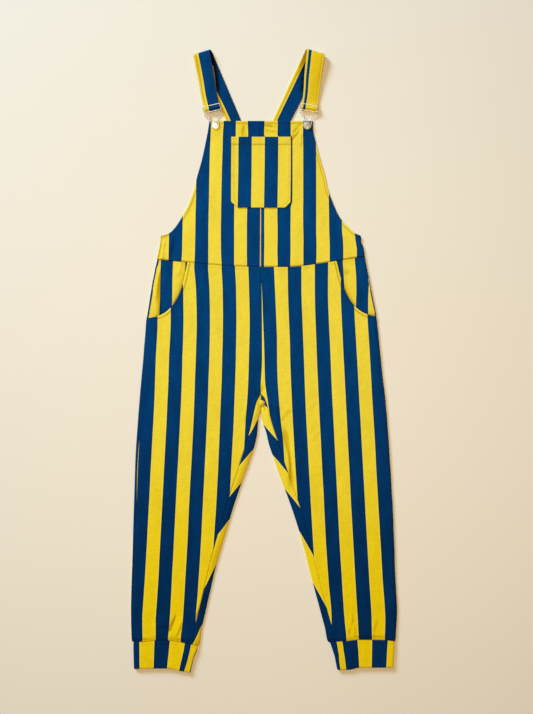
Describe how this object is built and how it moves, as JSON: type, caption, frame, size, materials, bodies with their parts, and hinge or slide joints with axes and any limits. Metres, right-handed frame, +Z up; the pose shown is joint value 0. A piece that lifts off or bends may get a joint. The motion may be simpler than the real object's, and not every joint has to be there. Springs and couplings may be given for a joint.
{
  "type": "striped dungarees",
  "caption": "Striped dungarees laid flat: bib with patch pocket, straps with wire sliders and hooks, curved hip pockets, jogger cuffs.",
  "frame": {"origin": "middle of the garment's box, on the surface it lies on", "axes": "+Y from the cuffs towards the straps, +Z up out of the surface, +X to the right seen from above with the straps away from the viewer"},
  "size_m": [0.639, 1.4946, 0.0128],
  "materials": {
    "striped_cloth": "woven cotton twill in even blue and yellow stripes, matt",
    "nickel": "polished nickel wire and pressed caps"
  },
  "bodies": {
    "root": {"front_bib_left": "striped_cloth", "front_bib_right": "striped_cloth", "back_bib": "striped_cloth", "bib_pocket": "striped_cloth", "front_leg_left": "striped_cloth", "front_leg_right": "striped_cloth", "back_leg_left": "striped_cloth", "back_leg_right": "striped_cloth", "hip_facing_left": "striped_cloth", "hip_facing_right": "striped_cloth", "cuff_left": "striped_cloth", "cuff_right": "striped_cloth", "strap_left": "striped_cloth", "strap_right": "striped_cloth", "slider_left": "nickel", "slider_right": "nickel", "slider_bar_left": "nickel", "slider_bar_right": "nickel", "hook_left": "nickel", "hook_right": "nickel", "button_left": "nickel", "button_right": "nickel"}
  },
  "joints": []
}
